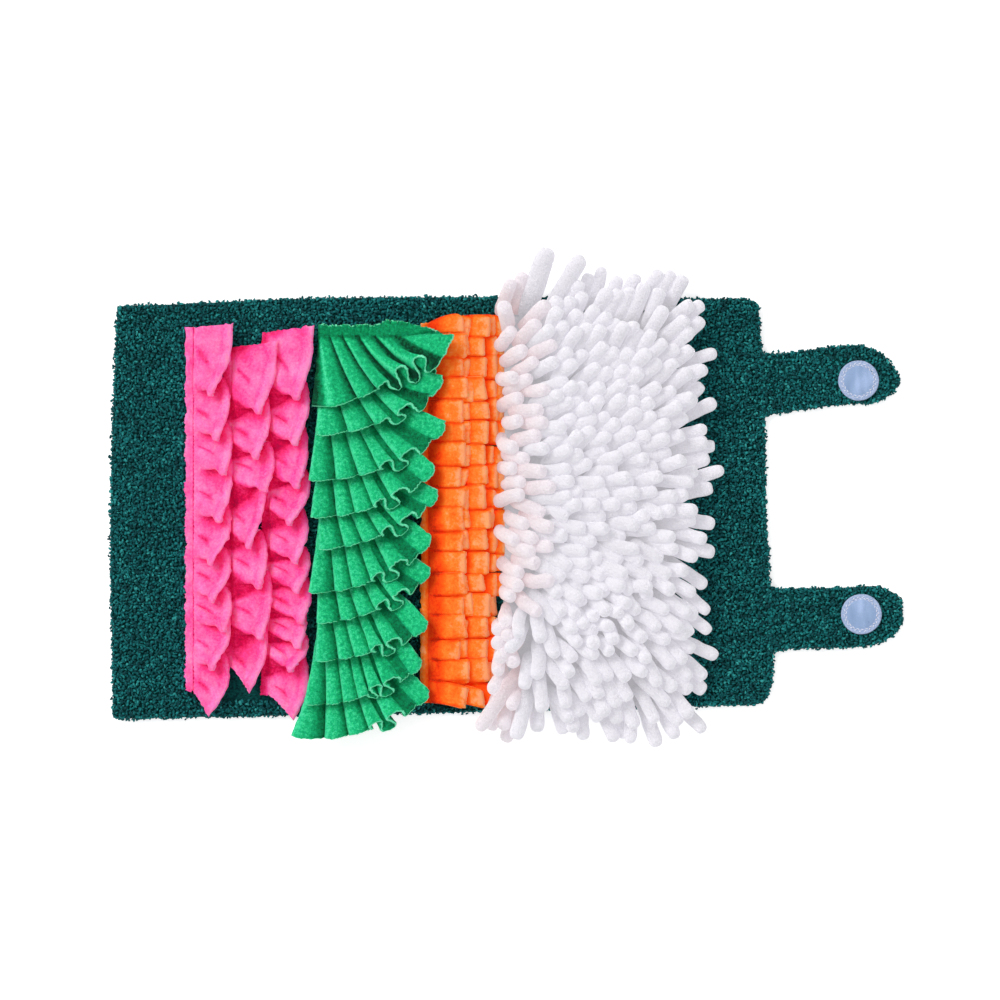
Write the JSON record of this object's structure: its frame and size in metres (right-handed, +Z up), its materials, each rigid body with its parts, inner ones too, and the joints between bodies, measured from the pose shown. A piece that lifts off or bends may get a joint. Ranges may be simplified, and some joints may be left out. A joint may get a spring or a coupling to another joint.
{
  "type": "snuffle mat",
  "caption": "Soft snuffle mat for a pet, styled as a sushi roll laid out flat, with pleated, fluted and fringed fleece strips, chenille fingers and closing straps.",
  "frame": {"origin": "bottom centre of the bounding box, on the surface that the mat lies on", "axes": "+X along the mat towards the straps, +Y across it towards the upper strap, +Z up from the surface it lies on"},
  "size_m": [0.514, 0.3212, 0.0433],
  "materials": {
    "curly_pile": "dark teal curly looped pile, matt",
    "pink_fleece": "bright pink brushed fleece, matt",
    "green_fleece": "green brushed fleece, matt",
    "orange_fleece": "orange brushed fleece, matt",
    "white_chenille": "white soft chenille fingers",
    "pale_tape": "pale blue-grey looped fastening tape"
  },
  "bodies": {
    "root": {"mat": "curly_pile", "strap_upper": "curly_pile", "strap_lower": "curly_pile", "tape_round_upper": "pale_tape", "tape_round_lower": "pale_tape", "pink_ruffle_left": "pink_fleece", "pink_ruffle_middle": "pink_fleece", "pink_ruffle_right": "pink_fleece", "green_ruffle_01": "green_fleece", "green_ruffle_02": "green_fleece", "green_ruffle_03": "green_fleece", "green_ruffle_04": "green_fleece", "green_ruffle_05": "green_fleece", "green_ruffle_06": "green_fleece", "green_ruffle_07": "green_fleece", "green_ruffle_08": "green_fleece", "green_ruffle_09": "green_fleece", "green_ruffle_10": "green_fleece", "orange_fringe_under_right": "orange_fleece", "orange_fringe_right": "orange_fleece", "orange_fringe_middle": "orange_fleece", "orange_fringe_under_left": "orange_fleece", "orange_fringe_left": "orange_fleece", "white_chenille": "white_chenille"}
  },
  "joints": []
}
